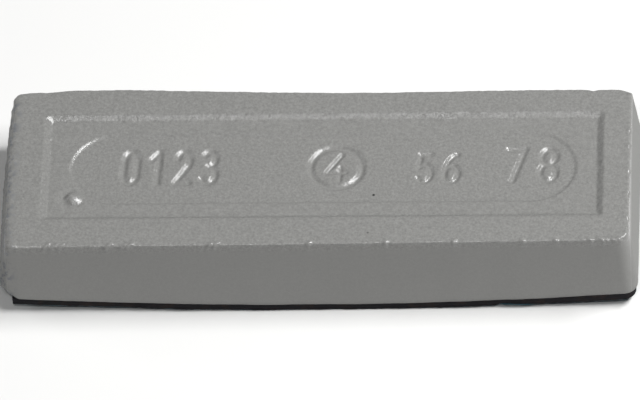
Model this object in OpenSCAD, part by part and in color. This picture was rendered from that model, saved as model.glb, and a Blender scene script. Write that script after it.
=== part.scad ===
// Stick-on wheel balance weight for large wheels.
// A block of lead, cast and painted grey, with a sunk panel in its flat top. Its underside is
// bowed to follow the inside of a rim, and carries a strip of black foam tape under a thin film.
// X runs along the weight, -Y is the front long side and +Z is up. The origin is on the film's
// underside, on the flat spot where it rests, below the middle of the flat top. All sizes are in
// millimetres.

/* [Casting] */
// Length of the flat top
top_length = 64.6; // [55:0.1:90]
// Width of the flat top at its left end
top_width_left = 21.5; // [19:0.1:30]
// Width of the flat top at its right end
top_width_right = 20.5; // [19:0.1:30]
// Thickness of the casting where it is thickest
thickness = 8.6; // [6:0.1:14]
// Draft of the two long sides, in degrees
side_draft = 7; // [2:0.5:12]
// Draft of the left end, in degrees
left_draft = 11; // [2:0.5:14]
// Draft of the right end, in degrees
right_draft = 6.5; // [2:0.5:14]
// Radius of the four upright corners
corner_radius = 1.2; // [0.6:0.1:2]
// Rounding along the edge of the flat top
edge_radius = 0.2; // [0.1:0.05:0.5]

/* [Sunk panel] */
// Flat rim to the left of the panel
rim_left = 3.2; // [2:0.1:6]
// Flat rim to the right of the panel
rim_right = 2.6; // [2:0.1:6]
// Flat rim in front of the panel, at the middle of its length
rim_front = 3.7; // [2:0.1:5]
// Flat rim behind the panel, at the middle of its length
rim_back = 2.8; // [2:0.1:5]
// Depth of the panel's floor below the top
panel_depth = 0.53; // [0.2:0.01:1.2]
// How far the panel's sloping walls reach inwards
panel_wall = 0.72; // [0.3:0.02:0.84]
// Radius of the panel's corners at the top
panel_corner = 0.9; // [0.86:0.02:1.2]

/* [Round-ended pad] */
// From the foot of the panel's end walls to the ends of the pad
pad_end_gap = 2.2; // [1:0.1:8]
// From the foot of the panel's long walls to the sides of the pad
pad_side_gap = 2; // [1:0.1:4]
// Depth of the pad below the panel's floor
pad_depth = 0.14; // [0.05:0.01:0.3]

/* [Pip] */
// Diameter of the round pip that the mould leaves
pip_diameter = 1.6; // [1:0.1:2]
// Height of the pip above the bottom of its dish
pip_height = 0.36; // [0.12:0.02:0.4]
// Diameter of the shallow dish around the pip
dish_diameter = 2.6; // [2.2:0.1:3]
// Depth of the dish
dish_depth = 0.1; // [0.05:0.01:0.2]
// Middle of the pip from the foot of the panel's left wall
pip_from_left = 2.4; // [1.8:0.1:3]
// Middle of the pip from the foot of the panel's front wall
pip_from_front = 2.5; // [1.8:0.1:3]

/* [Worn corners] */
// Cut at the front left bottom corner, along X, Y and Z
front_left_cut = [2, 3.4, 2]; // [1:0.1:5]
// Cut at the back right top corner, along X, Y and Z
back_right_cut = [1.4, 1.5, 1.6]; // [1:0.1:5]

/* [Tape and film] */
// Radius of the tape's outer face, which is stuck to the rim
face_radius = 500; // [300:5:700]
// From the middle of the flat top to the lowest line of the bow, along X
bow_offset = 2.5; // [-3:0.1:3]
// Thickness of the foam tape
tape_thickness = 0.8; // [0.5:0.05:1.6]
// Thickness of the release film over the tape
film_thickness = 0.1; // [0.05:0.01:0.2]
// From the casting's left bottom edge to the tape
tape_gap_left = 1.9; // [0:0.1:6]
// From the casting's right bottom edge to the tape
tape_gap_right = 0.4; // [0:0.1:6]
// From the casting's front bottom edge to the tape
tape_gap_front = 0.05; // [0:0.05:3]
// From the casting's back bottom edge to the tape, at the right end
tape_gap_back = 0.5; // [0:0.05:3]
// Radius of the two right corners of the tape
tape_corner = 1.2; // [0.2:0.1:3]
// Length of the flat spot where the soft foam gives way under the weight as it rests
flat_spot = 9; // [4:0.5:14]

/* [Hidden] */

$fn = 96;
// Sides of the round things that a hull joins, and of the large cylinders about the wheel's axis
hull_fn = 32;
edge_fn = 24;
wheel_fn = 720;
// Extra reach of every cutter, so that no cut ends on a face
spare = 0.5;

// Radii of the casting's underside and of the film's outer face about the wheel's axis
foot_radius = face_radius - tape_thickness;
film_radius = face_radius + film_thickness;
// The wheel's axis lies along Y, above the weight. The level z = 0 is that of the flat spot.
axis_z = sqrt(pow(film_radius, 2) - pow(flat_spot / 2, 2));
foot_z = axis_z - foot_radius;
top_z = foot_z + thickness;

left_x = -top_length / 2;
right_x = top_length / 2;
// How far the draft carries the bottom edges outwards, at the level of foot_z
side_run = thickness * tan(side_draft);
left_run = thickness * tan(left_draft);
right_run = thickness * tan(right_draft);
// Half the top's width at each end and at the middle
half_left = top_width_left / 2;
half_right = top_width_right / 2;
half_middle = (half_left + half_right) / 2;
// Angle by which each long side closes in towards the right end
side_turn = atan((half_left - half_right) / top_length);

panel_length = top_length - rim_left - rim_right;
panel_width = 2 * half_middle - rim_front - rim_back;
panel_x = (rim_left - rim_right) / 2;
panel_y = (rim_front - rim_back) / 2;
panel_floor_z = top_z - panel_depth;

pad_length = panel_length - 2 * (panel_wall + pad_end_gap);
pad_width = panel_width - 2 * (panel_wall + pad_side_gap);
pad_floor_z = panel_floor_z - pad_depth;

pip_x = panel_x - panel_length / 2 + panel_wall + pip_from_left;
pip_y = panel_y - panel_width / 2 + panel_wall + pip_from_front;

tape_length = top_length + left_run + right_run - tape_gap_left - tape_gap_right;
tape_width = top_width_right + 2 * side_run - tape_gap_front - tape_gap_back;
tape_x = left_x - left_run + tape_gap_left;
tape_y = tape_gap_front - side_run - half_middle;

// Height of the casting's underside this far along X
function underside_z(x) = axis_z - sqrt(pow(foot_radius, 2) - pow(x - bow_offset, 2));

// The four corners, each as the signs of its X and Y and the top's half width there
corners = [[-1, -1, half_left], [1, -1, half_right], [1, 1, half_right], [-1, 1, half_left]];

// Middle of a corner's upright rounding, at the top
function top_corner(c) = [
    c[0] * (right_x - corner_radius),
    c[1] * (c[2] - corner_radius),
    top_z - edge_radius
];

// Middle of the same rounding at the level of foot_z, moved outwards by the draft
function foot_corner(c) = [
    c[0] * (right_x - corner_radius) + (c[0] < 0 ? -left_run : right_run),
    c[1] * (c[2] - corner_radius + side_run),
    foot_z
];

// Block with four slanted sides, round upright corners and a soft edge around its top
module blank() {
    hull() for (c = corners) {
        translate(top_corner(c))
            rotate_extrude($fn = hull_fn)
                translate([corner_radius - edge_radius, 0]) circle(edge_radius, $fn = edge_fn);
        translate(foot_corner(c))
            cylinder(r = corner_radius, h = edge_radius / 10, $fn = hull_fn);
    }
}

// All that lies closer to the wheel's axis than this radius and higher than this level
module bowed_space(radius, level) {
    reach = top_length;
    intersection() {
        translate([bow_offset, reach, axis_z])
            rotate([90, 0, 0]) cylinder(r = radius, h = 2 * reach, $fn = wheel_fn);
        translate([-reach, -reach, level]) cube([2 * reach, 2 * reach, top_z + spare]);
    }
}

// Cutter for the panel: a flat floor and walls that slope out to the top and beyond it
module panel_cutter() {
    rise = panel_depth + spare;
    top_radius = panel_corner + panel_wall * spare / panel_depth;
    translate([panel_x, panel_y, panel_floor_z])
        hull() for (x = [-1, 1], y = [-1, 1])
            translate([x * (panel_length / 2 - panel_corner), y * (panel_width / 2 - panel_corner)])
                cylinder(r1 = panel_corner - panel_wall, r2 = top_radius, h = rise, $fn = hull_fn);
}

// Cutter for the pad: a slot with round ends
module pad_cutter() {
    straight = pad_length - pad_width;
    rise = pad_depth + panel_depth;
    translate([panel_x, panel_y, pad_floor_z]) {
        for (x = [-straight / 2, straight / 2])
            translate([x, 0]) cylinder(d = pad_width, h = rise);
        translate([-straight / 2, -pad_width / 2]) cube([straight, pad_width, rise]);
    }
}

// Round cap of a large ball, standing on the level z = 0
module cap(diameter, height) {
    ball = (pow(diameter / 2, 2) + pow(height, 2)) / (2 * height);
    intersection() {
        translate([0, 0, height - ball]) sphere(ball);
        cylinder(d = diameter + spare, h = 2 * height);
    }
}

// Cutter for the dish, with a disc that clears its mouth
module dish_cutter() {
    translate([pip_x, pip_y, panel_floor_z]) {
        mirror([0, 0, 1]) cap(dish_diameter, dish_depth);
        cylinder(d = dish_diameter, h = panel_depth / 2);
    }
}

// The pip, with a root that goes down into the casting
module pip() {
    translate([pip_x, pip_y, panel_floor_z - dish_depth]) {
        cap(pip_diameter, pip_height);
        translate([0, 0, -spare]) cylinder(d = pip_diameter, h = spare);
    }
}

// Cutter that takes a corner off. Its flat face crosses the corner's three edges at these legs.
module corner_cutter(corner, legs) {
    apex = corner - legs;
    reach = 4 * legs;
    tips = [apex, apex + [reach[0], 0, 0], apex + [0, reach[1], 0], apex + [0, 0, reach[2]]];
    hull() polyhedron(tips, [[0, 1, 2], [0, 2, 3], [0, 3, 1], [1, 3, 2]]);
}

module cast_body() {
    front_left_x = left_x - left_run;
    front_left = [front_left_x, -half_left - side_run, underside_z(front_left_x)];
    back_right = [right_x, half_right, top_z];
    color("#90918d") {
        difference() {
            intersection() {
                blank();
                bowed_space(foot_radius, 0);
            }
            panel_cutter();
            pad_cutter();
            dish_cutter();
            corner_cutter(front_left, front_left_cut);
            corner_cutter(back_right, [-back_right_cut[0], -back_right_cut[1], -back_right_cut[2]]);
        }
        pip();
    }
}

// Flat outline of the strip of tape: square at the left, with round corners at the right.
// Its front edge follows the front edge of the casting.
module strip() {
    r = tape_corner;
    translate([tape_x, tape_y]) rotate(side_turn) {
        translate([0, left_x * sin(side_turn)]) {
            square([tape_length - r, tape_width]);
            translate([tape_length - 2 * r, r]) square([2 * r, tape_width - 2 * r]);
            for (y = [r, tape_width - r]) translate([tape_length - r, y]) circle(r);
        }
    }
}

// The strip out to this radius about the wheel's axis and down to this level
module bowed_strip(radius, level) {
    intersection() {
        translate([0, 0, -spare]) linear_extrude(top_z) strip();
        bowed_space(radius, level);
    }
}

module foam_tape() {
    color("#242326") difference() {
        bowed_strip(face_radius, film_thickness);
        bowed_space(foot_radius, 0);
    }
}

module release_film() {
    color("#2f5e68") difference() {
        bowed_strip(film_radius, 0);
        bowed_space(face_radius, film_thickness);
    }
}

cast_body();
foam_tape();
release_film();
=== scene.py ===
"""Stick-on wheel balance weight: a painted lead casting on black foam tape with its release film.

The script is laid out as an add-on. Run as a script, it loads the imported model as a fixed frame,
dresses its three pieces with surfaces worked out on grids, and sets the stage around them.
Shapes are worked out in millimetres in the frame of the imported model: X runs along the weight,
-Y is its front long side, and +Z is up. Meshes and properties are in metres.
"""

import math
from types import SimpleNamespace

import bpy
import numpy as np
from bpy.props import FloatProperty, FloatVectorProperty, PointerProperty
from mathutils import Matrix, Vector


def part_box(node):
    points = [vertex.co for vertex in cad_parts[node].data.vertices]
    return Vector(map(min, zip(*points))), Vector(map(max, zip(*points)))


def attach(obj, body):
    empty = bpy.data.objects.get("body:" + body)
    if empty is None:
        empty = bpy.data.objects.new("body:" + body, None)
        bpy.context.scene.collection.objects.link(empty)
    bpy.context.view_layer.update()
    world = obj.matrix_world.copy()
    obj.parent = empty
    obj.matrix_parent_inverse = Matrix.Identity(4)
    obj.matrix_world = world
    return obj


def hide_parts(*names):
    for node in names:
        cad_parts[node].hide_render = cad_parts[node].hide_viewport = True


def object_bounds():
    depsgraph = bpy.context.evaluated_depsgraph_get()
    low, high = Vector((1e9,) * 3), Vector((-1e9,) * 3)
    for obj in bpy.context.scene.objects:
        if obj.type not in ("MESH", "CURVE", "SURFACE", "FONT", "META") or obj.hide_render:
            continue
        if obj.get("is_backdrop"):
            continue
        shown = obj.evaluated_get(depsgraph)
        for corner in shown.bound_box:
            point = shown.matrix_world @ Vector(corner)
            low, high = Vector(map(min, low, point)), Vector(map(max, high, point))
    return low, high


bl_info = {
    "name": "Stick-on wheel balance weight",
    "version": (1, 0, 0),
    "blender": (4, 5, 0),
    "location": "3D View > Sidebar > Weight",
    "description": "Makes a painted lead balance weight with foam tape, and a studio around it",
    "category": "Add Mesh",
}

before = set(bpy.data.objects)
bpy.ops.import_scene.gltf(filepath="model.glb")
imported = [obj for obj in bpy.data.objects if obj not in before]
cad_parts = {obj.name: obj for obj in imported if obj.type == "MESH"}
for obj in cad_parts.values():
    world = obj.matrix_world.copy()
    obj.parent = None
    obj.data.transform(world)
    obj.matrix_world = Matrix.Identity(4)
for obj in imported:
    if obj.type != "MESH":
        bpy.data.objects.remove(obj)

MM = 0.001


# Properties

def length(name, description, millimetres):
    """A length property, given in millimetres and kept in metres."""
    return FloatProperty(name=name, description=description, default=millimetres * MM,
                         subtype="DISTANCE", unit="LENGTH", precision=5)


def angle(name, description, degrees):
    """An angle property, given in degrees and kept in radians."""
    return FloatProperty(name=name, description=description, default=math.radians(degrees),
                         subtype="ANGLE", unit="ROTATION")


def share(name, description, value):
    """A property between 0 and 1."""
    return FloatProperty(name=name, description=description, default=value,
                         min=0.0, max=1.0, subtype="FACTOR")


def linear(code):
    """Linear colour of an sRGB hex code: each channel c is c/12.92 when dark, else a power."""
    channels = [int(code[i:i + 2], 16) / 255 for i in (1, 3, 5)]
    return tuple(c / 12.92 if c <= 0.04045 else ((c + 0.055) / 1.055) ** 2.4 for c in channels)


def colour(name, description, code):
    """A colour property, given as an sRGB hex code and kept as linear values."""
    return FloatVectorProperty(name=name, description=description, default=linear(code),
                               size=3, min=0.0, max=1.0, subtype="COLOR")


class CastingSizes(bpy.types.PropertyGroup):
    """Outer form of the casting."""
    top_length: length("Top length", "Length of the flat top", 64.6)
    top_width_left: length("Left width", "Width of the flat top at its left end", 21.5)
    top_width_right: length("Right width", "Width of the flat top at its right end", 20.5)
    side_draft: angle("Side draft", "Draft of the back side, and the nominal one of the edges", 7)
    front_draft: angle("Front draft", "Draft of the front side", 8.2)
    left_draft: angle("Left draft", "Draft of the left end", 9)
    right_draft: angle("Right draft", "Draft of the right end", 6.5)
    left_swell: length("Left swell", "How far the left end stands out below its worn edge", 0.22)
    left_bulge: length("Left bulge", "How far the left end bulges at the middle of its width", 0.24)
    right_skew: length("Right skew", "How far the back of the right end reaches out", 0.1)
    front_left_radius: length("Front left radius", "Radius of the front left upright corner", 0.8)
    front_right_radius: length("Front right radius", "Radius of the front right upright corner", 1.4)
    back_corner_radius: length("Back corner radius", "Radius of the two back upright corners", 0.6)
    back_edge: length("Back edge", "Rounding along the back edge of the top", 0.25)
    front_edge: length("Front edge", "Rounding along the front edge of the top", 0.3)
    front_wear: length("Front wear", "How much larger that rounding is at the worn left end", 0.45)
    left_edge: length("Left edge", "Rounding along the left edge of the top, worn by handling", 0.7)
    right_edge: length("Right edge", "Rounding along the right edge of the top", 0.3)
    foot_radius: length("Foot rounding", "Rounding along the bottom edge", 0.1)
    hollow: length("Hollow", "How far the front side is hollow at half its height", 0.3)
    underside_radius: length("Underside radius", "Radius of the bowed underside", 499.2)
    bow_offset: length("Bow offset", "From the middle of the top to the lowest line of the bow", 2.5)
    relief: length("Relief", "Height kept free above the top for the lumps in its paint", 0.1)


class PanelSizes(bpy.types.PropertyGroup):
    """Sunk panel in the flat top, with the pad and the pip in it."""
    rim_left: length("Left rim", "Flat rim to the left of the panel", 3.2)
    rim_right: length("Right rim", "Flat rim to the right of the panel", 2.75)
    rim_front: length("Front rim", "Flat rim in front of the panel", 3.7)
    rim_back: length("Back rim", "Flat rim behind the panel", 2.95)
    depth: length("Depth", "Depth of the panel's floor below the top", 0.53)
    wall: length("Wall", "How far the panel's walls reach inwards", 0.72)
    corner: length("Corner", "Radius of the panel's corners at the top", 0.45)
    soft_corner: length("Soft corner", "Radius of the back left one, where paint has pooled", 0.9)
    pad_end_gap: length("Pad end gap", "From the panel's end walls to the pad", 2.05)
    pad_side_gap: length("Pad side gap", "From the panel's long walls to the pad", 1.68)
    pad_depth: length("Pad depth", "Depth of the pad below the panel's floor", 0.2)
    pad_wall: length("Pad wall", "How far the pad's edge reaches inwards", 0.27)
    pip_diameter: length("Pip diameter", "Diameter of the round pip, measured along Y", 1.9)
    pip_height: length("Pip height", "Height of the pip above its dish", 0.68)
    pip_skew: share("Pip skew", "How much steeper the pip is on its left than on its right", 0.3)
    dish_diameter: length("Dish diameter", "Diameter of the dish around the pip", 2.9)
    dish_depth: length("Dish depth", "Depth of the dish", 0.15)
    pip_from_left: length("Pip from left", "Pip from the foot of the left wall", 2.4)
    pip_from_front: length("Pip from front", "Pip from the foot of the front wall", 2.5)


class MarkSizes(bpy.types.PropertyGroup):
    """Plain numerals and a ring, sunk into the pad."""
    groove: length("Groove", "Half the width of the widest grooves and the ring's", 0.56)
    depth: length("Depth", "Depth of the grooves", 0.26)
    lean: share("Lean", "How far the numerals lean to the right, per unit of height", 0.05)
    ring_diameter: length("Ring", "Outer diameter of the ring", 6.5)


class TapeSizes(bpy.types.PropertyGroup):
    """Foam tape and release film under the casting."""
    tape_thickness: length("Tape thickness", "Thickness of the foam tape", 0.8)
    film_thickness: length("Film thickness", "Thickness of the release film", 0.1)
    back_gap: length("Back gap", "How far the back edge stays inside that of the solid", 0.1)
    left_step: length("Left step", "How far the tape stands back at the left of the front", 0.14)
    right_step: length("Right step", "How far the tape stands back at the right of the front", 0.07)
    left_corner: length("Left corner", "Radius of the tape's two left corners", 0.15)
    right_corner: length("Right corner", "Radius of the tape's two right corners", 1.2)
    film_step: length("Film step", "How far the film ends behind the tape's front edge", 0.1)
    film_out: length("Film out", "How far the film reaches past that edge at the nick", 0.05)
    nick_start: length("Nick start", "Left end of the nick in the tape's lower edge", 18.2)
    nick_end: length("Nick end", "Right end of that nick", 22.6)
    nick_height: length("Nick height", "How far the nick lifts the tape's lower edge", 0.27)


class FinishColours(bpy.types.PropertyGroup):
    """Colours of the finishes."""
    paint: colour("Paint", "Satin grey paint of the casting", "#7C7C7A")
    bare_lead: colour("Bare lead", "Dull lead where the paint has worn off", "#62656A")
    stain: colour("Stain", "Brown stain at the worn left end", "#5C4A3C")
    foam: colour("Foam", "Black closed-cell foam", "#161518")
    adhesive: colour("Adhesive", "Thin brown layer of adhesive on the foam", "#30251F")
    film: colour("Film", "Blue-green release film", "#1C3E48")
    floor: colour("Floor", "Pale studio floor", "#D9D9D8")


class StudioSettings(bpy.types.PropertyGroup):
    """Camera and lights."""
    azimuth: angle("Azimuth", "Turn of the view about Z, from +Y towards +X", -5.14)
    elevation: angle("Elevation", "Angle at which the camera looks down", 50)
    roll: angle("Roll", "Turn of the camera about its line of sight", -4.363)
    distance: length("Distance", "From the camera to the point it looks at", 1000)
    pixels_per_mm: FloatProperty(name="Scale", description="Pixels per millimetre of the object",
                                 default=9.6)
    key_power: FloatProperty(name="Key power", description="Power of the key light", default=5.3,
                             subtype="POWER", unit="POWER")
    top_power: FloatProperty(name="Top power", description="Power of the small light above the camera",
                             default=0.75, subtype="POWER", unit="POWER")
    side_power: FloatProperty(name="Side power", description="Power of the light at the left",
                              default=0.75, subtype="POWER", unit="POWER")
    dome: FloatProperty(name="Dome", description="Radiance of the surrounding light",
                        default=0.07)
    backdrop: FloatProperty(name="Backdrop", description="Radiance that the camera sees past the floor",
                            default=0.86)


GROUPS = {
    "weight_casting": CastingSizes,
    "weight_panel": PanelSizes,
    "weight_marks": MarkSizes,
    "weight_tape": TapeSizes,
    "weight_colours": FinishColours,
    "weight_studio": StudioSettings,
}


def in_mm(group):
    """The number values of a property group, with its lengths in millimetres."""
    values = {}
    for name, prop in group.bl_rna.properties.items():
        if prop.type == "FLOAT":
            value = getattr(group, name)
            values[name] = value / MM if prop.unit == "LENGTH" else value
    return SimpleNamespace(**values)


# Curves and grids

def soft_ramp(t, soft=0.4):
    """Rises from 0 at t = 0 to 1 at t = 1, with rounded bends.

    It is the mean of a straight ramp over a window of soft to either side of t.
    """
    def area(u):
        return np.where(u < 0, 0, np.where(u < 1, u * u / 2, u - 0.5))
    return (area(t + soft) - area(t - soft)) / (2 * soft)


def inside(x, y, centre, half, radius):
    """Distance inwards from the outline of a rectangle with round corners, negative outside.

    Beyond the corner's middle it is the radius less the distance to that middle, and
    elsewhere the distance to the nearer side.
    """
    qx = np.abs(x - centre[0]) - half[0] + radius
    qy = np.abs(y - centre[1]) - half[1] + radius
    beyond = np.hypot(np.maximum(qx, 0), np.maximum(qy, 0))
    return radius - beyond - np.minimum(np.maximum(qx, qy), 0)


def cap_height(distance, diameter, height):
    """Height at this distance from the middle of a round cap cut from a large ball."""
    ball = ((diameter / 2) ** 2 + height ** 2) / (2 * height)
    return np.maximum(np.sqrt(np.maximum(ball ** 2 - distance ** 2, 0)) - ball + height, 0)


def bump(distance, width):
    """Bell of height 1 that falls off with the square of the distance over the width."""
    return np.exp(-(distance / width) ** 2)


def waves(x, y, wavelength, seed):
    """Random gentle hills, mostly between -1 and 1: plane waves in all directions, added up.

    Their lengths spread about the given wavelength.
    """
    draw = np.random.default_rng(seed)
    count = 14
    shortest, longest = 0.7, 1.5
    turn = draw.uniform(0, math.pi, count)
    number = 2 * math.pi / (wavelength * draw.uniform(shortest, longest, count))
    phase = draw.uniform(0, 2 * math.pi, count)
    total = np.zeros(np.broadcast(x, y).shape)
    for a, k, p in zip(turn, number, phase):
        total += np.sin(k * (x * math.cos(a) + y * math.sin(a)) + p)
    return total / math.sqrt(2 * count)


def ripples(x, y, kinds):
    """Sum of random hills, each kind with its height, its wavelength and its seed."""
    return sum(height * waves(x, y, wavelength, seed) for height, wavelength, seed in kinds)


def graded(stops, steps, multiple):
    """Values that run through all the stops.

    Each stretch is cut into equal parts of about its step, in a count that is a multiple.
    """
    parts = []
    for start, end, step in zip(stops, stops[1:], steps):
        count = multiple * max(1, round((end - start) / (multiple * step)))
        parts.append(np.linspace(start, end, count, endpoint=False))
    return np.append(np.concatenate(parts), stops[-1])


def fractions(values):
    """The values as shares of their whole range."""
    return (values - values[0]) / (values[-1] - values[0])


def plan(s, t, left, right, front, back, radius):
    """Point of an outline with four sides and round corners, filled by two parameters.

    s runs from the left end to the right and t from the front side to the back, whose y are
    functions of x. In each corner's square a point slides along its ray from the middle of
    the corner's arc, so that squares about that middle turn into circles.
    """
    x = left + s * (right - left)
    low = front(x)
    high = back(x)
    y = low + t * (high - low)
    px = np.maximum(left + radius - x, 0) - np.maximum(x - right + radius, 0)
    py = np.maximum(low + radius - y, 0) - np.maximum(y - high + radius, 0)
    ray = np.hypot(px, py)
    reach = np.maximum(np.abs(px), np.abs(py))
    pull = 1 - reach / np.where(ray > 0, ray, 1)
    pull = np.where(ray > 0, pull, 0)
    return x + px * pull, y + py * pull


def rim_of(grid):
    """The outermost values of a grid, once around: front, right, back and left."""
    return np.concatenate([grid[0, :-1], grid[:-1, -1], grid[-1, :0:-1], grid[:0:-1, 0]])


def stack(x, y, z):
    """Points from three arrays or numbers, as one array whose last axis is x, y and z."""
    return np.stack(np.broadcast_arrays(x, y, z), axis=-1)


def cut_corner(points, corner, legs, softness):
    """Presses the points beyond a slanting plane back onto it, with softened edges.

    The plane crosses the corner's three edges at these legs. A point's distance beyond the
    plane, d, becomes (d - sqrt(d squared + softness squared)) / 2, which is never positive.
    Away from the corner the press fades, over a few times the length of the legs.
    """
    fade_legs = 2.5
    tips = np.array(corner) + np.diag(legs)
    normal = np.cross(tips[1] - tips[0], tips[2] - tips[0])
    normal *= np.sign(normal @ (np.array(corner) - tips[0])) / np.linalg.norm(normal)
    beyond = (points - tips[0]) @ normal
    kept = (beyond - np.hypot(beyond, softness)) / 2
    near = np.linalg.norm(points - np.array(corner), axis=-1)
    fade = bump(near, fade_legs * np.linalg.norm(legs))
    return points + (fade * (kept - beyond))[..., None] * normal


# Meshes

def slab_faces(columns, rows, rings, share_of):
    """Faces of a closed slab: an upper grid, rings around its rim, and a coarser lower grid.

    The grids are columns by rows quads, the lower one share_of times fewer each way. Each
    edge of the last ring forms a triangle with the nearest point of the lower rim, and each
    edge of the lower rim one with the middle of its stretch of the ring.
    """
    upper = np.arange((columns + 1) * (rows + 1)).reshape(rows + 1, columns + 1)
    around = 2 * (columns + rows)
    loops = [rim_of(upper)]
    for k in range(rings):
        loops.append(upper.size + k * around + np.arange(around))
    low_shape = (rows // share_of + 1, columns // share_of + 1)
    lower = upper.size + rings * around + np.arange(low_shape[0] * low_shape[1])
    lower = lower.reshape(low_shape)

    def grid_quads(grid):
        corners = (grid[:-1, :-1], grid[:-1, 1:], grid[1:, 1:], grid[1:, :-1])
        return np.stack(corners, -1).reshape(-1, 4)

    quads = [grid_quads(upper), grid_quads(lower)[:, ::-1]]
    for high, low in zip(loops, loops[1:]):
        quads.append(np.stack([low, np.roll(low, -1), np.roll(high, -1), high], -1))

    fine = loops[-1]
    coarse = rim_of(lower)
    place = np.arange(around)
    apex = coarse[(place // share_of + (place % share_of >= share_of // 2)) % len(coarse)]
    middle = fine[np.arange(len(coarse)) * share_of + share_of // 2]
    triangles = [
        np.stack([apex, np.roll(fine, -1), fine], -1),
        np.stack([coarse, np.roll(coarse, -1), middle], -1),
    ]
    return np.concatenate(quads), np.concatenate(triangles)


def add_piece(name, upper, rings, lower, node, material):
    """Makes the mesh of a closed slab from points in millimetres, and puts it in the frame.

    Its points are held inside the box of the node that it stands for.
    """
    share_of = (upper.shape[1] - 1) // (lower.shape[1] - 1)
    quads, triangles = slab_faces(upper.shape[1] - 1, upper.shape[0] - 1, len(rings), share_of)
    points = np.concatenate([upper.reshape(-1, 3), *rings, lower.reshape(-1, 3)]) * MM
    lowest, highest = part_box(node)
    points = np.clip(points, lowest, highest)
    corners = np.concatenate([quads.ravel(), triangles.ravel()])
    sizes = np.concatenate([np.full(len(quads), 4), np.full(len(triangles), 3)])
    mesh = bpy.data.meshes.new(name)
    mesh.vertices.add(len(points))
    mesh.vertices.foreach_set("co", points.astype(np.float32).ravel())
    mesh.loops.add(len(corners))
    mesh.loops.foreach_set("vertex_index", corners.astype(np.int32))
    mesh.polygons.add(len(sizes))
    mesh.polygons.foreach_set("loop_start", (np.cumsum(sizes) - sizes).astype(np.int32))
    mesh.update(calc_edges=True)
    mesh.shade_smooth()
    if mesh.validate():
        raise RuntimeError(f"{name} has faces that the mesh can't hold")
    mesh.materials.append(material)
    piece = bpy.data.objects.new(name, mesh)
    bpy.context.scene.collection.objects.link(piece)
    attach(piece, "root")
    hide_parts(node)
    return piece


# The numerals

def arc(middle, radii, start, end):
    """Points of an elliptical arc, one every 15 degrees or closer, angles in degrees."""
    turn = np.radians(np.linspace(start, end, 2 + int(abs(end - start) // 15)))
    return np.stack([middle[0] + radii[0] * np.cos(turn), middle[1] + radii[1] * np.sin(turn)], -1)


def numeral_lines(digit):
    """Centre lines of a plain numeral in a box one unit wide and high, as lists of points."""
    if digit == 0:
        return [np.vstack([arc((0.5, 0.7), (0.5, 0.3), 0, 180), arc((0.5, 0.3), (0.5, 0.3), 180, 360),
                           [(1, 0.7)]])]
    if digit == 1:
        return [np.array([(0.08, 0.76), (0.62, 1), (0.62, 0)])]
    if digit == 2:
        return [np.vstack([arc((0.5, 0.71), (0.47, 0.29), 165, -25), [(0, 0), (1, 0)]])]
    if digit == 3:
        return [arc((0.47, 0.765), (0.45, 0.235), 150, -90), arc((0.47, 0.265), (0.53, 0.265), 90, -150)]
    if digit == 4:
        return [np.array([(0.7, 1), (0, 0.32), (1, 0.32)]), np.array([(0.7, 0.5), (0.7, 0)])]
    if digit == 5:
        return [np.vstack([[(0.92, 1), (0.14, 1), (0.08, 0.54)],
                           arc((0.46, 0.32), (0.52, 0.32), 120, -145)])]
    if digit == 6:
        return [arc((0.5, 0.3), (0.5, 0.3), 0, 360), arc((0.98, 0.3), (0.98, 0.7), 180, 98)]
    if digit == 7:
        return [np.array([(0, 1), (1, 1), (0.36, 0)])]
    return [arc((0.5, 0.77), (0.43, 0.23), 0, 360), arc((0.5, 0.27), (0.5, 0.27), 0, 360)]


# Each group of numerals: the digits, the left end of the first, the level of their feet,
# the width, the pitch and the height of one, all in millimetres, and how wide its grooves are
# as a share of the widest
NUMERAL_GROUPS = (
    ((0, 1, 2, 3), -21.2, -1.8, 2.3, 2.75, 5.1, 1.0),
    ((4,), 0.25, -1.45, 2.65, 2.7, 4.0, 0.72),
    ((5, 6), 9.7, -1.8, 2.15, 2.8, 4.4, 0.8),
    ((7, 8), 19.0, -1.8, 2.5, 3.4, 5.05, 0.9),
)
# Middle of the ring around the single numeral
RING_MIDDLE = (1.65, 0.55)
# How far the centre lines stay inside a numeral's box, per half width of its grooves
LINE_INSET = 0.8


def line_distance(x, y, start, end):
    """Distance to a straight line between two points.

    It is the distance to the nearest point of the line, whose place along it is held
    between the two ends.
    """
    dx = end[0] - start[0]
    dy = end[1] - start[1]
    along = np.clip(((x - start[0]) * dx + (y - start[1]) * dy) / (dx * dx + dy * dy), 0, 1)
    return np.hypot(x - start[0] - along * dx, y - start[1] - along * dy)


def groove_share(x, y, marks):
    """Distance to the nearest centre line of the numerals and the ring, per half width of it."""
    ring_radius = marks.ring_diameter / 2 - marks.groove
    nearest = np.abs(np.hypot(x - RING_MIDDLE[0], y - RING_MIDDLE[1]) - ring_radius) / marks.groove
    for digits, left, foot, width, pitch, height, wide in NUMERAL_GROUPS:
        half = wide * marks.groove
        inset = LINE_INSET * half
        for place, digit in enumerate(digits):
            for line in numeral_lines(digit):
                px = left + place * pitch + inset + line[:, 0] * (width - 2 * inset)
                py = foot + inset + line[:, 1] * (height - 2 * inset)
                points = list(zip(px + marks.lean * (py - foot), py))
                for start, end in zip(points, points[1:]):
                    nearest = np.minimum(nearest, line_distance(x, y, start, end) / half)
    return nearest


# The casting

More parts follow.
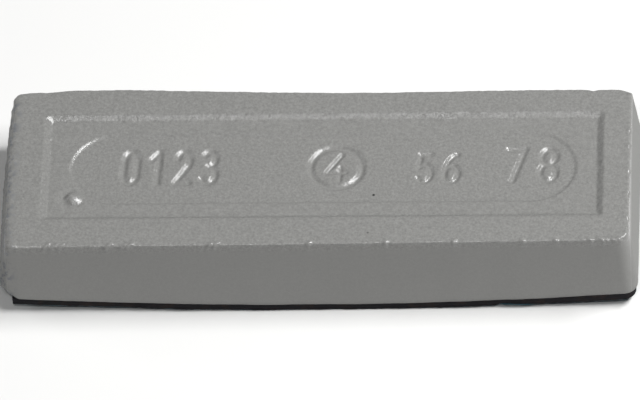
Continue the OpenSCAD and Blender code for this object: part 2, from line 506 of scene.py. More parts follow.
# Random ripples: the height, the wavelength and the seed of each kind. Those of the grooves have
# their height as a share of half a groove's width.
FRONT_EDGE_RIPPLES = ((0.03, 6, 11),)
BACK_EDGE_RIPPLES = ((0.02, 4, 12),)
TOP_EDGE_RIPPLES = ((0.02, 1.2, 21), (0.01, 0.5, 22))
LEFT_EDGE_RIPPLES = ((0.12, 0.9, 23),)
WALL_RIPPLES = ((0.03, 2.2, 31), (0.03, 0.8, 32), (0.014, 0.42, 36))
GROOVE_RIPPLES = ((0.05, 1.1, 33),)
TOP_RIPPLES = ((0.006, 3.5, 34), (0.002, 0.9, 35))
SIDE_HILLS = ((0.025, 6, 41), (0.008, 2, 42))
LEFT_END_HOLLOWS = ((0.05, 2.6, 43),)
LEFT_END_DENTS = ((0.09, 0.9, 44),)
# Lumps of paint along the front top edge, as their x, and along the right one, as their y
FRONT_LUMPS = (-32.15, -31.45, -27.9, -27.1, -26.4, -21.5, -19.9, -19.3, -11.0, -10.4, -0.8, 7.1,
               14.1, 21.2, 24.6, 28.1, 29.3, 29.8, 30.5, 31.1)
RIGHT_LUMPS = (-9.8, -9.2, -6.9, -3.5, -0.6, 2.7, 4.8)
# Height and width of each of these lumps, and how far the right ones lie inside their edge
FRONT_LUMP = (0.2, 0.24)
RIGHT_LUMP = (0.14, 0.22)
RIGHT_LUMP_INSET = 0.2
# How far the lumps and ripples of the top's edge reach in over it, and down its sides
EDGE_REACH = 0.9
EDGE_FALL = 0.7
# Rough strip along the left end: how far its middle lies outside the edge, and its width
ROUGH_STRIP = (0.5, 0.9)
# How far the front top edge stands back from the nominal width, and the back one stands out
FRONT_SETBACK = 0.12
BACK_REACH = 0.22
# Swellings and hollows of the back top edge: their x, their width and how far they reach
BACK_SWELLINGS = (
    (2.5, 15, -0.4),
    (-20.5, 4.5, 0.1),
    (28.3, 0.45, -0.2),
    (29.6, 0.8, -0.05),
    (-33.2, 1.8, -0.35),
)
# Step in the back top edge, towards the left: the x where it starts, its length and its depth
BACK_STEP = (-26.6, 2, 0.27)
# Rounding of the bends of the panel's walls and of the pad's edge, as shares of their reach
WALL_SOFTNESS = 0.16
PAD_SOFTNESS = 0.3
# Power of the pip's profile: a cone has 1 and a parabola 2
PIP_POWER = 1.5
# Small burr across the panel's left wall: the x and y of its two ends, its height and its width
BURR = ((-28.6, 4.45), (-27.8, 5.2), 0.04, 0.13)
# Paint that has pooled in the panel's back left corner: its x and y, its height and its width
POOL = ((-28.35, 6.95), 0.06, 0.4)
# Where the worn left end begins, going left, and how long the change is
LEFT_END = (-31.3, 0.6)
# How much a height counts in the pattern of the left end's dents: below 1 draws them out upwards
DENT_STRETCH = 0.6
# Corners that are broken off: the legs of the slanting cut along X, Y and Z
FRONT_LEFT_CUT = (2.0, 3.4, 2.0)
BACK_RIGHT_CUT = (-1.4, -0.6, -0.6)

# Grid of the top: its steps along X over rim, end wall, floor, numerals, floor, end wall and
# rim, and along Y over the front edge, rim, panel and rim
STEPS_ALONG = (0.2, 0.13, 0.15, 0.125, 0.15, 0.13, 0.2)
STEPS_ACROSS = (0.12, 0.26, 0.145, 0.26)
# Where the finest stretch of it starts and ends along X, and how wide that of the front edge is
NUMERAL_SPAN = (-21.7, 25.5)
FRONT_BAND = 0.8
# How far the stretch of an end wall reaches out of the panel and into it, and that of the panel
# beyond its sides
WALL_BAND = (0.2, 1.1)
PANEL_BAND = 0.3
# How many times coarser the lower grid is, and how far its rim lies inside the bottom edge
COARSER = 4
LOWER_INSET = 0.8
# Rings of points around the sides: how many round the top edge, the shares of the height at
# which they lie on the side, and those of a quarter turn round the bottom edge
EDGE_RINGS = 6
WALL_SHARES = (0.03, 0.08, 0.17, 0.3, 0.44, 0.58, 0.72, 0.85, 0.95)
FOOT_TURNS = (0, 0.5, 1)


class Casting:
    """The casting's sizes in millimetres and the outlines that follow from them."""

    def __init__(self, scene):
        self.size = in_mm(scene.weight_casting)
        self.panel = in_mm(scene.weight_panel)
        self.marks = in_mm(scene.weight_marks)
        lowest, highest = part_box("cast_body")
        size = self.size
        self.top_z = highest.z / MM - size.relief
        self.axis_z = lowest.z / MM + size.underside_radius
        self.half_length = size.top_length / 2
        self.side_slope = math.tan(size.side_draft)
        self.front_slope = math.tan(size.front_draft)
        self.left_slope = math.tan(size.left_draft)
        self.right_slope = math.tan(size.right_draft)
        # How far a rounded edge's arc starts from the edge, per unit of its radius
        self.arc_start = math.tan((math.pi / 2 - size.side_draft) / 2)

        panel = self.panel
        middle_width = (size.top_width_left + size.top_width_right) / 2
        self.panel_half = (
            (size.top_length - panel.rim_left - panel.rim_right) / 2,
            (middle_width - panel.rim_front - panel.rim_back) / 2,
        )
        self.panel_middle = (
            (panel.rim_left - panel.rim_right) / 2,
            (panel.rim_front - panel.rim_back) / 2,
        )
        self.pad_half = (
            self.panel_half[0] - panel.wall - panel.pad_end_gap,
            self.panel_half[1] - panel.wall - panel.pad_side_gap,
        )
        self.pip_middle = (
            self.panel_middle[0] - self.panel_half[0] + panel.wall + panel.pip_from_left,
            self.panel_middle[1] - self.panel_half[1] + panel.wall + panel.pip_from_front,
        )

    def half_width(self, x):
        """Half the top's width at x: straight between its values at the two ends."""
        size = self.size
        slope = (size.top_width_right - size.top_width_left) / (2 * size.top_length)
        return (size.top_width_left + size.top_width_right) / 4 + slope * x

    def front(self, x):
        """The front edge of the top: straight, with faint ripples."""
        return ripples(x, 0, FRONT_EDGE_RIPPLES) - self.half_width(x) + FRONT_SETBACK

    def front_edge(self, x):
        """Radius of the rounding along the front edge of the top, larger at the left end."""
        wear_length = 5
        return self.size.front_edge + self.size.front_wear * bump(x + self.half_length, wear_length)

    def back(self, x):
        """The back edge of the top: sunk in at the middle and the left end, and notched."""
        edge = self.half_width(x) + BACK_REACH + ripples(x, 0, BACK_EDGE_RIPPLES)
        for middle, width, reach in BACK_SWELLINGS:
            edge = edge + reach * bump(x - middle, width)
        start, run, depth = BACK_STEP
        return edge - depth * soft_ramp((start - x) / run)

    def underside(self, x):
        """Height of the bowed underside: part of a cylinder whose axis lies above, along Y."""
        size = self.size
        return self.axis_z - np.sqrt(size.underside_radius ** 2 - (x - size.bow_offset) ** 2)

    def outline(self, s, t, shrink, drop, inset=0):
        """Points of the level outline this far below the top.

        The drafts carry each side outwards in proportion to the drop. The front side is hollow
        by a parabola of the drop, the left end bulges by a parabola of t, and the right end
        slants in proportion to t. The inset draws all sides in, and the shrink draws each one in
        by that many radii of its rounded top edge.
        """
        size = self.size
        on_back = inset + shrink * size.back_edge
        on_front = inset + shrink * self.front_edge((2 * s - 1) * self.half_length)
        down = np.clip(drop / (self.top_z - self.underside(size.bow_offset)), 0, 1)
        hollow = 4 * size.hollow * down * (1 - down)
        bulge = size.left_swell + 4 * size.left_bulge * t * (1 - t)
        skew = size.right_skew * (2 * t - 1)
        front_radius = np.where(s < 0.5, size.front_left_radius, size.front_right_radius)
        return plan(
            s, t,
            inset + shrink * size.left_edge - self.half_length - bulge - drop * self.left_slope,
            self.half_length + skew - inset - shrink * size.right_edge + drop * self.right_slope,
            lambda x: self.front(x) + on_front + hollow - drop * self.front_slope,
            lambda x: self.back(x) - on_back + drop * self.side_slope,
            np.where(t > 0.5, size.back_corner_radius - on_back, front_radius - on_front),
        )

    def lumps(self, x, y):
        """Height of the paint's lumps near the top's edge: fine ripples and single drops."""
        total = ripples(x, y, TOP_EDGE_RIPPLES)
        from_front = y - self.front(x) - self.arc_start * self.front_edge(x)
        height, width = FRONT_LUMP
        for lump in FRONT_LUMPS:
            total = total + height * bump(np.hypot(x - lump, from_front), width)
        from_right = x - self.half_length + RIGHT_LUMP_INSET
        height, width = RIGHT_LUMP
        for lump in RIGHT_LUMPS:
            total = total + height * bump(np.hypot(from_right, y - lump), width)
        outside, width = ROUGH_STRIP
        return total + ripples(x, y, LEFT_EDGE_RIPPLES) * bump(x + self.half_length + outside, width)

    def top_height(self, x, y):
        """Height of the top: the flat rim less the panel, pad, dish and grooves, plus the pip."""
        panel = self.panel
        corner = np.where((x < 0) & (y > 0), panel.soft_corner, panel.corner)
        to_wall = inside(x, y, self.panel_middle, self.panel_half, corner) + ripples(x, y, WALL_RIPPLES)
        z = self.top_z - panel.depth * soft_ramp(to_wall / panel.wall, WALL_SOFTNESS)
        start, end, height, width = BURR
        z = z + height * bump(line_distance(x, y, start, end), width)
        middle, height, width = POOL
        z = z + height * bump(np.hypot(x - middle[0], y - middle[1]), width)

        to_pad = inside(x, y, self.panel_middle, self.pad_half, self.pad_half[1])
        z = z - panel.pad_depth * soft_ramp(to_pad / panel.pad_wall, PAD_SOFTNESS)

        from_pip = np.hypot(x - self.pip_middle[0], y - self.pip_middle[1])
        z = z - cap_height(from_pip, panel.dish_diameter, panel.dish_depth)
        skewed = from_pip - panel.pip_skew * (x - self.pip_middle[0])
        profile = 1 - (2 * skewed / panel.pip_diameter) ** PIP_POWER
        z = z + panel.pip_height * np.maximum(profile, 0)

        marks = self.marks
        groove = np.clip(groove_share(x, y, marks) + ripples(x, y, GROOVE_RIPPLES), 0, 1)
        z = z - marks.depth * (1 + np.cos(math.pi * groove)) / 2

        edge = np.minimum(self.half_length - np.abs(x), self.half_width(x) - np.abs(y))
        z = z + self.lumps(x, y) * bump(edge, EDGE_REACH)
        return z + ripples(x, y, TOP_RIPPLES)

    def grid(self):
        """The two parameters on the top's grid, finer over the panel and its numerals."""
        size = self.size
        left = self.arc_start * size.left_edge - size.left_swell - self.half_length
        right = self.half_length - self.arc_start * size.right_edge
        (middle_x, middle_y), (half_x, half_y) = self.panel_middle, self.panel_half
        side = self.half_width(0)
        out, into = WALL_BAND
        stops_along = (left, middle_x - half_x - out, middle_x - half_x + into, *NUMERAL_SPAN,
                       middle_x + half_x - into, middle_x + half_x + out, right)
        stops_across = (-side, FRONT_BAND - side, middle_y - half_y - PANEL_BAND,
                        middle_y + half_y + PANEL_BAND, side)
        x = graded(stops_along, STEPS_ALONG, COARSER)
        y = graded(stops_across, STEPS_ACROSS, COARSER)
        return np.meshgrid(fractions(x), fractions(y))

    def surface(self):
        """The upper grid, the rings down the sides, and the lower grid."""
        size = self.size
        s, t = self.grid()
        x, y = self.outline(s, t, self.arc_start, 0)
        upper = stack(x, y, self.top_height(x, y))

        s_rim = rim_of(s)
        t_rim = rim_of(t)
        rim = rim_of(upper)
        rim_height = rim[:, 2] - self.top_z
        small_step = 0.1
        wide = np.stack(self.outline(s_rim, t_rim, self.arc_start, 0, -small_step), -1)
        outward = wide - rim[:, :2]
        outward /= np.linalg.norm(outward, axis=-1, keepdims=True)
        to_left, to_front = np.maximum(-outward.T, 0) ** 2
        to_right, to_back = np.maximum(outward.T, 0) ** 2
        front_edge = self.front_edge((2 * s_rim - 1) * self.half_length)
        radius = (to_left * size.left_edge + to_right * size.right_edge
                  + to_back * size.back_edge + to_front * front_edge)

        rings = []
        last_turn = math.pi / 2 - size.side_draft
        for turn in np.linspace(0, last_turn, EDGE_RINGS + 1)[1:]:
            fall = 1 - math.cos(turn)
            shrink = self.arc_start - math.sin(turn) + fall * self.side_slope
            rx, ry = self.outline(s_rim, t_rim, shrink, radius * fall)
            rx = rx + outward[:, 0] * rim_height * math.sin(turn)
            ry = ry + outward[:, 1] * rim_height * math.sin(turn)
            rings.append(stack(rx, ry, self.top_z - radius * fall + rim_height * math.cos(turn)))

        start = radius * (1 - math.cos(last_turn))
        foot_x, _ = self.outline(s_rim, t_rim, 0, self.top_z - self.underside(rim[:, 0]))
        full = self.top_z - self.underside(foot_x)
        for k, down in enumerate(WALL_SHARES + FOOT_TURNS):
            on_wall = k < len(WALL_SHARES)
            turn = 0 if on_wall else down * math.pi / 2
            inset = size.foot_radius * (1 - math.cos(turn))
            drop = start + (full - size.foot_radius - start) * (down if on_wall else 1)
            drop = drop + size.foot_radius * math.sin(turn)
            rx, ry = self.outline(s_rim, t_rim, 0, drop, inset)
            push = self.side_push(rim, drop, rim_height)
            rings.append(stack(rx + outward[:, 0] * push, ry + outward[:, 1] * push, self.top_z - drop))

        coarse = (slice(None, None, COARSER), slice(None, None, COARSER))
        depth = self.top_z - self.underside(x[coarse])
        lx, ly = self.outline(s[coarse], t[coarse], 0, depth, LOWER_INSET)
        lower = stack(lx, ly, self.underside(lx))
        return self.cut([upper, *rings, lower])

    def side_push(self, rim, drop, rim_height):
        """How far the sides stand out: the lumps of the top edge fade into gentle hills.

        The hills are deeper on the worn left end.
        """
        fade = bump(drop, EDGE_FALL)
        hills = ripples(rim[:, 0] + drop, rim[:, 1] - drop, SIDE_HILLS)
        start, run = LEFT_END
        on_left = soft_ramp((start - rim[:, 0]) / run)
        dents = (ripples(rim[:, 1], drop, LEFT_END_HOLLOWS)
                 + ripples(rim[:, 1], DENT_STRETCH * drop, LEFT_END_DENTS))
        return rim_height * fade + (hills + on_left * dents) * (1 - fade)

    def cut(self, parts):
        """Takes the two broken corners off all parts of the surface."""
        size = self.size
        left_x = -self.half_length - size.left_swell
        bottom_x = left_x - self.left_slope * (self.top_z - self.underside(left_x))
        depth = self.top_z - self.underside(bottom_x)
        front_left = (bottom_x, -size.top_width_left / 2 - depth * self.side_slope, self.top_z - depth)
        back_right = (self.half_length, self.back(self.half_length), self.top_z)
        done = []
        for part in parts:
            part = cut_corner(part, front_left, FRONT_LEFT_CUT, softness=0.1)
            done.append(cut_corner(part, back_right, BACK_RIGHT_CUT, softness=0.08))
        return done


# Tape and film

# Where the strip's front edge starts to step back, going left and going right, and how long
# each change is
LEFT_STEP = (-15.5, 4)
RIGHT_STEP = (30, 2)
# The nick in its lower edge: the length of its steep rise, how far right of its start it begins
# to fade, the softness of that fade, and how far it reaches in under the strip
NICK_RISE = 0.4
NICK_LEVEL = 1.5
NICK_SOFTNESS = 0.2
NICK_REACH = 0.5
# How far right of the nick's start the film begins to show
FILM_START = 0.5
# Ragged front edges: the height, the wavelength and the seed of each kind of ripple, and how far
# those of the foam run over its thickness
FOAM_EDGE_RIPPLES = ((0.03, 2.4, 51), (0.02, 0.7, 52))
FILM_EDGE_RIPPLES = ((0.02, 6, 53),)
RIPPLE_RUN = 6
# Rings of points around the foam and the film: the share of the thickness and the inset of each
FOAM_RINGS = ((0.0, 0.06), (0.06, 0.02), (0.2, 0.0), (0.5, 0.03), (0.8, 0.01), (0.95, 0.02), (1.0, 0.06))
FILM_RINGS = ((0.0, 0.03), (0.2, 0.0), (0.8, 0.0), (1.0, 0.03))
# Grid steps: along X on the foam and on the film, and across both
FOAM_STEP = 0.14
FILM_STEP = 0.25
ACROSS_STEP = 0.5


class Strip:
    """The strip of tape and film: its outline and the levels of its layers."""

    def __init__(self, scene):
        self.casting = Casting(scene)
        self.tape = in_mm(scene.weight_tape)
        size = self.casting.size
        tape = self.tape
        lowest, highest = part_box("foam_tape")
        self.left = lowest.x / MM
        self.right = highest.x / MM
        self.width = highest.y / MM - self.front(self.right) - tape.back_gap
        self.face_radius = size.underside_radius + tape.tape_thickness
        self.film_radius = self.face_radius + tape.film_thickness

    def front(self, x):
        """The front edge: it follows the casting's front bottom edge, a little behind it at the ends."""
        casting = self.casting
        drop = casting.top_z - casting.underside(x)
        start, run = LEFT_STEP
        step = self.tape.left_step * soft_ramp((start - x) / run)
        start, run = RIGHT_STEP
        step = step + self.tape.right_step * soft_ramp((x - start) / run)
        return casting.front(x) - drop * casting.front_slope + step

    def bow(self, x, radius, floor):
        """Height of a bowed face about the wheel's axis, pressed flat where it is lowest."""
        casting = self.casting
        across = x - casting.size.bow_offset
        return np.maximum(casting.axis_z - np.sqrt(radius ** 2 - across ** 2), floor)

    def nick(self, x):
        """The nick in the lower front edge: it rises steeply at its left and fades to the right."""
        tape = self.tape
        rise = soft_ramp((x - tape.nick_start) / NICK_RISE)
        middle = tape.nick_start + NICK_LEVEL
        return rise * (1 - soft_ramp((x - middle) / (tape.nick_end - middle), NICK_SOFTNESS))

    def lift(self, x, y):
        """How far the nick lifts the foam and the film near the front edge."""
        return self.tape.nick_height * self.nick(x) * bump(y - self.front(x), NICK_REACH)

    def layer(self, upper_level, lower_level, front_edge, edge_depths, step):
        """A thin closed slab between two levels.

        Each ring around it is given by its share of the thickness and its inset, and
        front_edge gives the extra inset of a front point at that share.
        """
        x_lines = graded((self.left, self.right), (step,), multiple=2)
        y_lines = graded((0, self.width), (ACROSS_STEP,), multiple=2)
        s, t = np.meshgrid(fractions(x_lines), fractions(y_lines))
        corner = np.where(s < 0.5, self.tape.left_corner, self.tape.right_corner)
        smallest = 0.05

        def spread(s, t, corner, inset, at):
            x = self.left + s * (self.right - self.left)
            in_front = front_edge(x, at)
            return plan(s, t, self.left + inset, self.right - inset,
                        lambda x: self.front(x) + inset + in_front,
                        lambda x: self.front(x) + self.width - inset,
                        np.maximum(corner - inset, smallest))

        parts = []
        first = edge_depths[0]
        x, y = spread(s, t, corner, first[1], first[0])
        parts.append(stack(x, y, upper_level(x, y)))
        for at, inset in edge_depths[1:-1]:
            x, y = spread(rim_of(s), rim_of(t), rim_of(corner), inset, at)
            high = upper_level(x, y)
            parts.append(stack(x, y, high + at * (lower_level(x, y) - high)))
        last = edge_depths[-1]
        x, y = spread(s, t, corner, last[1], last[0])
        parts.append(stack(x, y, lower_level(x, y)))
        return parts[0], parts[1:-1], parts[-1]

    def tape_parts(self):
        """The foam: a slightly ragged cut edge, and the nick in its lower front edge."""
        size = self.casting.size
        tape = self.tape

        def upper_level(x, y):
            return self.bow(x, size.underside_radius, -math.inf)

        def lower_level(x, y):
            return self.bow(x, self.face_radius, tape.film_thickness) + self.lift(x, y)

        def front_edge(x, at):
            return ripples(x, RIPPLE_RUN * at, FOAM_EDGE_RIPPLES)

        return self.layer(upper_level, lower_level, front_edge, FOAM_RINGS, FOAM_STEP)

    def film_parts(self):
        """The film: it ends a little behind the foam's front edge, and shows at the nick."""
        tape = self.tape

        def upper_level(x, y):
            return self.bow(x, self.face_radius, tape.film_thickness) + self.lift(x, y)

        def lower_level(x, y):
            return self.bow(x, self.film_radius, 0) + self.lift(x, y)

        def front_edge(x, at):
            from_start = (x - tape.nick_start - FILM_START) / NICK_RISE
            shows = soft_ramp(from_start) * soft_ramp(tape.nick_end - x)
            behind = tape.film_step + ripples(x, 0, FILM_EDGE_RIPPLES)
            return behind * (1 - shows) - tape.film_out * shows

        return self.layer(upper_level, lower_level, front_edge, FILM_RINGS, FILM_STEP)


# Finishes

def add_node(tree, kind, sockets=None, **settings):
    """Adds a node with its settings, and fills its sockets with values or links."""
    made = tree.nodes.new("ShaderNode" + kind)
    for name, value in settings.items():
        setattr(made, name, value)
    for name, value in (sockets or {}).items():
        if isinstance(value, bpy.types.NodeSocket):
            tree.links.new(value, made.inputs[name])
        else:
            made.inputs[name].default_value = value
    return made


def new_finish(name):
    """A new material, its node tree and its main shader."""
    material = bpy.data.materials.new(name)
    material.use_nodes = True
    return material, material.node_tree, material.node_tree.nodes["Principled BSDF"]


def opaque(rgb):
    """A colour with full alpha."""
    return (*rgb, 1.0)


def per_metre(millimetres):
    """Scale of a pattern whose features are this large."""
    return 1 / (millimetres * MM)


# Dent in the worn left end of the casting, shown only by a painted shade and the brown stain around it,
# with no hollow in the mesh: its x, y and z
DENT = (-33.3, -8.6, 5.0)
# Pin-holes in the casting, and that dent, as painted shade: dark spots in the colour stand in for the
# shade inside them, with no hollow in the mesh. The x, y and z of each, its radius and the share of the
# colour that is left at its middle
PIT_SHADES = (
    (5.61, -3.2, 8.65, 0.17, 0.15),
    (5.2, -8.9, 9.4, 0.14, 0.5),
    (-7.2, -11.2, 6.6, 0.13, 0.4),
    (*DENT, 0.4, 0.25),
)
# From the dent's middle, where the brown stain starts to fade and where it ends
STAIN_FADE = (0.5, 1.4)
# Where the paint's look changes along X: the x where the change starts and where it is full
WORN_PAINT = (-31.4, -32.6)
MATT_LEFT = (-32.5, -32.8)
MATT_RIGHT = (32.3, 32.5)
# Where it changes with the height, from the casting's highest point: the grain of the top and the
# matt face of the right end
TOP_GRAIN = (-1.4, -0.9)
MATT_BELOW = (-0.3, -0.6)


def painted_lead(colours):
    """Satin grey paint dipped over cast lead.

    The thin paint follows the grain of the casting, so that it has a fine speckle and small
    sharp glints. The sides were cast against a smoother wall of the mould than the top. At
    the left end the paint is rubbed down to dull lead with brown stains. Pin-holes and a dent
    are painted as dark spots that stand in for the shade inside them.
    """
    material, tree, shader = new_finish("painted_lead")
    place = add_node(tree, "TexCoord").outputs["Object"]
    split = add_node(tree, "SeparateXYZ", {"Vector": place})
    top_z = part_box("cast_body")[1].z
    on_top = add_node(tree, "MapRange", {"Value": split.outputs["Z"],
                                         "From Min": top_z + TOP_GRAIN[0] * MM,
                                         "From Max": top_z + TOP_GRAIN[1] * MM}).outputs["Result"]
    grain = add_node(tree, "TexNoise", {"Vector": place, "Scale": per_metre(0.17), "Detail": 2.0,
                                        "Roughness": 0.6}).outputs["Fac"]
    strength = add_node(tree, "MapRange", {"Value": on_top, "To Min": 0.25, "To Max": 1.0})
    speck = add_node(tree, "TexNoise", {"Vector": place, "Scale": per_metre(0.3), "Detail": 3.0,
                                        "Roughness": 0.9}).outputs["Fac"]
    speck = add_node(tree, "MapRange", {"Value": speck, "From Min": 0.3, "From Max": 0.7,
                                        "To Min": 0.78, "To Max": 1.22}).outputs["Result"]
    tone = add_node(tree, "Mix", {0: strength.outputs["Result"], 2: 1.0, 3: speck}).outputs[0]
    paint = add_node(tree, "VectorMath", {0: colours.paint, "Scale": tone}, operation="SCALE")

    end = add_node(tree, "MapRange", {"Value": split.outputs["X"], "From Min": WORN_PAINT[0] * MM,
                                      "From Max": WORN_PAINT[1] * MM}).outputs["Result"]
    patches = add_node(tree, "TexNoise", {"Vector": place, "Scale": per_metre(0.6), "Detail": 4.0,
                                          "Roughness": 0.7}).outputs["Fac"]
    patch = add_node(tree, "MapRange", {"Value": patches, "From Min": 0.5,
                                        "From Max": 0.6}).outputs["Result"]
    worn = add_node(tree, "Math", {0: patch, 1: end}, operation="MULTIPLY").outputs[0]
    from_dent = add_node(tree, "VectorMath", {0: place, 1: Vector(DENT) * MM}, operation="DISTANCE")
    tint = add_node(tree, "MapRange", {"Value": from_dent.outputs["Value"],
                                       "From Min": STAIN_FADE[0] * MM, "From Max": STAIN_FADE[1] * MM,
                                       "To Min": 1.0, "To Max": 0.0}).outputs["Result"]
    bare = add_node(tree, "Mix", {0: tint, 6: opaque(colours.bare_lead), 7: opaque(colours.stain)},
                    data_type="RGBA").outputs[2]
    mixed = add_node(tree, "Mix", {0: worn, 6: paint.outputs[0], 7: bare}, data_type="RGBA")
    # Painted shade of the pin-holes and the dent: the colour darkens towards the middle of each.
    pit_shaded = mixed.outputs[2]
    for x, y, z, radius, shade in PIT_SHADES:
        away = add_node(tree, "VectorMath", {0: place, 1: Vector((x, y, z)) * MM}, operation="DISTANCE")
        dark = add_node(tree, "MapRange", {"Value": away.outputs["Value"], "From Min": 0.6 * radius * MM,
                                           "From Max": radius * MM, "To Min": shade, "To Max": 1.0})
        pit_shaded = add_node(tree, "VectorMath", {0: pit_shaded, "Scale": dark.outputs["Result"]},
                          operation="SCALE").outputs[0]
    tree.links.new(pit_shaded, shader.inputs["Base Color"])

    fine = add_node(tree, "Bump", {"Height": grain, "Strength": strength.outputs["Result"],
                                   "Distance": 0.035 * MM})
    peel = add_node(tree, "TexNoise", {"Vector": place, "Scale": per_metre(0.7), "Detail": 2.0})
    rough = add_node(tree, "Bump", {"Height": peel.outputs["Fac"], "Strength": strength.outputs["Result"],
                                    "Distance": 0.03 * MM, "Normal": fine.outputs["Normal"]})
    tree.links.new(rough.outputs["Normal"], shader.inputs["Normal"])
    at_left = add_node(tree, "MapRange", {"Value": split.outputs["X"], "From Min": MATT_LEFT[0] * MM,
                                          "From Max": MATT_LEFT[1] * MM}).outputs["Result"]
    at_right = add_node(tree, "MapRange", {"Value": split.outputs["X"], "From Min": MATT_RIGHT[0] * MM,
                                           "From Max": MATT_RIGHT[1] * MM}).outputs["Result"]
    low = add_node(tree, "MapRange", {"Value": split.outputs["Z"],
                                      "From Min": top_z + MATT_BELOW[0] * MM,
                                      "From Max": top_z + MATT_BELOW[1] * MM}).outputs["Result"]
    ends = add_node(tree, "Math", {0: at_right, 1: low, 2: at_left}, operation="MULTIPLY_ADD").outputs[0]
    matt = add_node(tree, "MapRange", {"Value": ends, "To Min": 0.2, "To Max": 0.75})
    tree.links.new(matt.outputs["Result"], shader.inputs["Roughness"])
    shader.inputs["IOR"].default_value = 1.48
    return material


def black_foam(colours):
    """Closed-cell foam, cut with a blade: matt and black with fine open cells.

    Brown smears of the adhesive on its faces lie over it.
    """
    material, tree, shader = new_finish("black_foam")
    place = add_node(tree, "TexCoord").outputs["Object"]
    cells = add_node(tree, "TexVoronoi", {"Vector": place, "Scale": per_metre(0.16)})
    shade = add_node(tree, "MapRange", {"Value": cells.outputs["Distance"], "From Max": 0.7,
                                        "To Min": 0.7, "To Max": 1.4}).outputs["Result"]
    foam = add_node(tree, "VectorMath", {0: colours.foam, "Scale": shade}, operation="SCALE")
    smear = add_node(tree, "TexNoise", {"Vector": place, "Scale": per_metre(1.2),
                                        "Detail": 3.0}).outputs["Fac"]
    smear = add_node(tree, "MapRange", {"Value": smear, "From Min": 0.5,
                                        "From Max": 0.7, "To Max": 0.5}).outputs["Result"]
    mixed = add_node(tree, "Mix", {0: smear, 6: foam.outputs[0], 7: opaque(colours.adhesive)},
                     data_type="RGBA")
    tree.links.new(mixed.outputs[2], shader.inputs["Base Color"])
    bump_node = add_node(tree, "Bump", {"Height": cells.outputs["Distance"], "Strength": 0.5,
                                        "Distance": 0.05 * MM})
    tree.links.new(bump_node.outputs["Normal"], shader.inputs["Normal"])
    shader.inputs["Roughness"].default_value = 0.8
    shader.inputs["Specular IOR Level"].default_value = 0.15
    return material


def release_film(colours):
    """Siliconed polyethylene film: thin, smooth and blue-green, with faint long ripples."""
    material, tree, shader = new_finish("release_film")
    place = add_node(tree, "TexCoord").outputs["Object"]
    stretched = add_node(tree, "Mapping", {"Vector": place, "Scale": (0.25, 1.0, 1.0)})
    ripple = add_node(tree, "TexNoise", {"Vector": stretched.outputs[0], "Scale": per_metre(2.0),
                                         "Detail": 2.0}).outputs["Fac"]
    tone = add_node(tree, "MapRange", {"Value": ripple, "From Min": 0.3, "From Max": 0.7,
                                       "To Min": 0.85, "To Max": 1.15}).outputs["Result"]
    base = add_node(tree, "VectorMath", {0: colours.film, "Scale": tone}, operation="SCALE")
    tree.links.new(base.outputs[0], shader.inputs["Base Color"])
    bump_node = add_node(tree, "Bump", {"Height": ripple, "Strength": 0.3, "Distance": 0.1 * MM})
    tree.links.new(bump_node.outputs["Normal"], shader.inputs["Normal"])
    shader.inputs["Roughness"].default_value = 0.28
    shader.inputs["IOR"].default_value = 1.51
    return material


def studio_floor(colours):
    """Matt white painted board, with a very faint roller texture."""
    material, tree, shader = new_finish("studio_floor")
    place = add_node(tree, "TexCoord").outputs["Object"]
    nap = add_node(tree, "TexNoise", {"Vector": place, "Scale": per_metre(4.0)}).outputs["Fac"]
    bump_node = add_node(tree, "Bump", {"Height": nap, "Strength": 0.05, "Distance": 0.1 * MM})
    tree.links.new(bump_node.outputs["Normal"], shader.inputs["Normal"])
    shader.inputs["Base Color"].default_value = opaque(colours.floor)
    shader.inputs["Roughness"].default_value = 0.9
    return material


# Operators

# The point that the camera looks at: its x and y, and how far it lies below the highest point
LOOK_AT = (0.011, -3.433, 1.3)
# The lights: the direction of each from the middle, and its width and height in metres. The power
# of each is the studio's setting of that name.
LIGHTS = {
    "key": ((0.54, 0.02, 0.84), (0.4, 0.1)),
    "top": ((-0.06, -0.54, 0.84), (0.12, 0.05)),
    "side": ((-0.93, 0.25, 0.4), (0.3, 0.3)),
}


class WEIGHT_OT_camera(bpy.types.Operator):
    """Camera that looks down on the front long side."""
    bl_idname = "weight.camera"
    bl_label = "Camera"

    def execute(self, context):
        studio = context.scene.weight_studio
        a = studio.azimuth
        e = studio.elevation
        ahead = Vector((math.sin(a) * math.cos(e), math.cos(a) * math.cos(e), -math.sin(e)))
        right = Vector((math.cos(a), -math.sin(a), 0))
        up = right.cross(ahead)
        right, up = (math.cos(studio.roll) * right + math.sin(studio.roll) * up,
                     math.cos(studio.roll) * up - math.sin(studio.roll) * right)
        x, y, below = LOOK_AT
        target = Vector((x, y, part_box("cast_body")[1].z / MM - below)) * MM
        image_width = 640
        data = bpy.data.cameras.new("camera")
        data.sensor_width = 36
        data.lens = studio.pixels_per_mm * studio.distance / MM * data.sensor_width / image_width
        data.clip_start = 0.05
        data.clip_end = 20
        camera = bpy.data.objects.new("camera", data)
        context.scene.collection.objects.link(camera)
        turn = Matrix((right, up, -ahead)).transposed().to_4x4()
        camera.matrix_world = Matrix.Translation(target - ahead * studio.distance) @ turn
        context.scene.camera = camera
        return {"FINISHED"}


class WEIGHT_OT_casting(bpy.types.Operator):
    """Painted lead casting with its sunk panel and numerals."""
    bl_idname = "weight.casting"
    bl_label = "Casting"

    def execute(self, context):
        upper, *rings, lower = Casting(context.scene).surface()
        finish = painted_lead(context.scene.weight_colours)
        add_piece("lead_casting", upper, rings, lower, "cast_body", finish)
        return {"FINISHED"}


class WEIGHT_OT_tape(bpy.types.Operator):
    """Strip of black foam tape under the casting."""
    bl_idname = "weight.tape"
    bl_label = "Foam tape"

    def execute(self, context):
        upper, rings, lower = Strip(context.scene).tape_parts()
        finish = black_foam(context.scene.weight_colours)
        add_piece("foam_strip", upper, rings, lower, "foam_tape", finish)
        return {"FINISHED"}


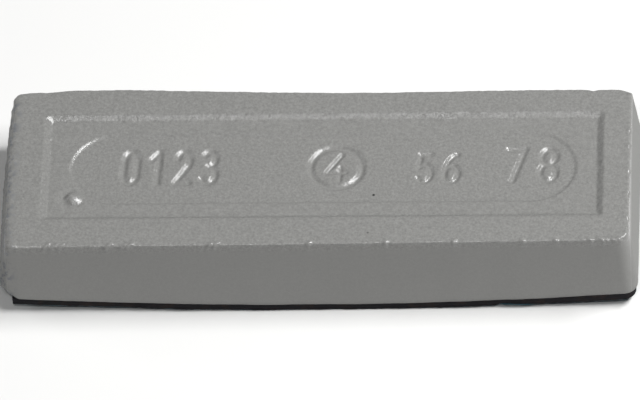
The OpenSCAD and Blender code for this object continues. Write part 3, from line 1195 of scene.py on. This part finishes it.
class WEIGHT_OT_film(bpy.types.Operator):
    """Release film under the tape."""
    bl_idname = "weight.film"
    bl_label = "Release film"

    def execute(self, context):
        upper, rings, lower = Strip(context.scene).film_parts()
        finish = release_film(context.scene.weight_colours)
        add_piece("film_strip", upper, rings, lower, "release_film", finish)
        return {"FINISHED"}


class WEIGHT_OT_stage(bpy.types.Operator):
    """Pale floor, lights and surroundings."""
    bl_idname = "weight.stage"
    bl_label = "Stage"

    def execute(self, context):
        scene = context.scene
        studio = scene.weight_studio
        self.floor(scene)
        middle = Vector((0, 0, 0.005))
        for name, (direction, size) in LIGHTS.items():
            power = getattr(studio, f"{name}_power")
            self.light(scene, name, middle, Vector(direction), size, power)
        self.surroundings(scene, studio)
        scene.view_settings.view_transform = "Standard"
        return {"FINISHED"}

    def floor(self, scene):
        """A large flat square at the level on which the weight rests."""
        reach = 4.0
        mesh = bpy.data.meshes.new("floor")
        corners = [(-reach, -reach, 0), (reach, -reach, 0), (reach, reach, 0), (-reach, reach, 0)]
        mesh.from_pydata(corners, [], [(0, 1, 2, 3)])
        mesh.materials.append(studio_floor(scene.weight_colours))
        floor = bpy.data.objects.new("floor", mesh)
        scene.collection.objects.link(floor)
        floor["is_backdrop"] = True

    def light(self, scene, name, middle, direction, size, power):
        """A level area light of this width and height that faces the middle, 0.6 m from it."""
        distance = 0.6
        data = bpy.data.lights.new(name, "AREA")
        data.shape = "RECTANGLE"
        data.size, data.size_y = size
        data.energy = power
        lamp = bpy.data.objects.new(name, data)
        direction = direction.normalized()
        lamp.location = middle + direction * distance
        lamp.rotation_euler = direction.to_track_quat("Z", "Y").to_euler()
        scene.collection.objects.link(lamp)

    def surroundings(self, scene, studio):
        """Soft light from all around, which the camera itself sees as pale as the floor."""
        world = bpy.data.worlds.new("surroundings")
        world.use_nodes = True
        tree = world.node_tree
        background = tree.nodes["Background"]
        background.inputs["Color"].default_value = (1, 1, 1, 1)
        seen = add_node(tree, "LightPath").outputs["Is Camera Ray"]
        strength = add_node(tree, "MapRange", {"Value": seen, "To Min": studio.dome,
                                               "To Max": studio.backdrop})
        tree.links.new(strength.outputs["Result"], background.inputs["Strength"])
        scene.world = world


OPERATORS = (WEIGHT_OT_camera, WEIGHT_OT_casting, WEIGHT_OT_tape, WEIGHT_OT_film, WEIGHT_OT_stage)


class WEIGHT_PT_parts(bpy.types.Panel):
    """The parts and sizes of the balance weight."""
    bl_label = "Balance weight"
    bl_idname = "WEIGHT_PT_parts"
    bl_space_type = "VIEW_3D"
    bl_region_type = "UI"
    bl_category = "Weight"

    def draw(self, context):
        column = self.layout.column(align=True)
        for operator in OPERATORS:
            column.operator(operator.bl_idname)
        for name, group in GROUPS.items():
            box = self.layout.box()
            box.label(text=group.bl_rna.name)
            settings = getattr(context.scene, name)
            for prop in group.__annotations__:
                box.prop(settings, prop)


def register():
    for cls in (*GROUPS.values(), *OPERATORS, WEIGHT_PT_parts):
        bpy.utils.register_class(cls)
    for name, group in GROUPS.items():
        setattr(bpy.types.Scene, name, PointerProperty(type=group))


def unregister():
    for name in GROUPS:
        delattr(bpy.types.Scene, name)
    for cls in (WEIGHT_PT_parts, *reversed(OPERATORS), *reversed(GROUPS.values())):
        bpy.utils.unregister_class(cls)


def main():
    """Makes the camera, the pieces and the stage."""
    cad_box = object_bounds()
    register()
    bpy.ops.weight.camera()
    bpy.ops.weight.casting()
    bpy.ops.weight.tape()
    bpy.ops.weight.film()
    bpy.ops.weight.stage()
    boxes = {"cad": cad_box, "visual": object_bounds()}
    plain = {name: [list(map(float, corner)) for corner in box] for name, box in boxes.items()}


if __name__ == "__main__":
    main()
